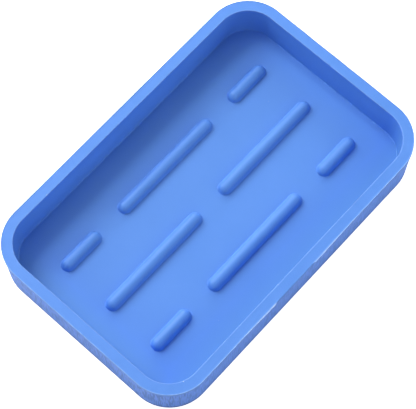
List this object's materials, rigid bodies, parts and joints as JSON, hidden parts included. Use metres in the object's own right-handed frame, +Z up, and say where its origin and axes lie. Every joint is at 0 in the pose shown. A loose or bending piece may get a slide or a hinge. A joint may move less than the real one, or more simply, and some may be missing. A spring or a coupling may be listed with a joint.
{
  "type": "silicone soap mould",
  "caption": "Open rectangular silicone tray mould with round corners, a flat rim and staggered half-round ribs on its floor that cast drain grooves.",
  "frame": {"origin": "middle of the flat base that the mould stands on", "axes": "+X along the long side and the ribs, +Y towards the back long side, +Z up out of the open cavity"},
  "size_m": [0.14, 0.0914, 0.02],
  "materials": {
    "silicone": "satin"
  },
  "bodies": {
    "root": {"floor_panel": "silicone", "perimeter_wall": "silicone", "rim": "silicone", "rib_front_left": "silicone", "rib_front_middle": "silicone", "rib_front_right": "silicone", "rib_middle_left": "silicone", "rib_middle_right": "silicone", "rib_back_left": "silicone", "rib_back_middle": "silicone", "rib_back_right": "silicone"}
  },
  "joints": []
}
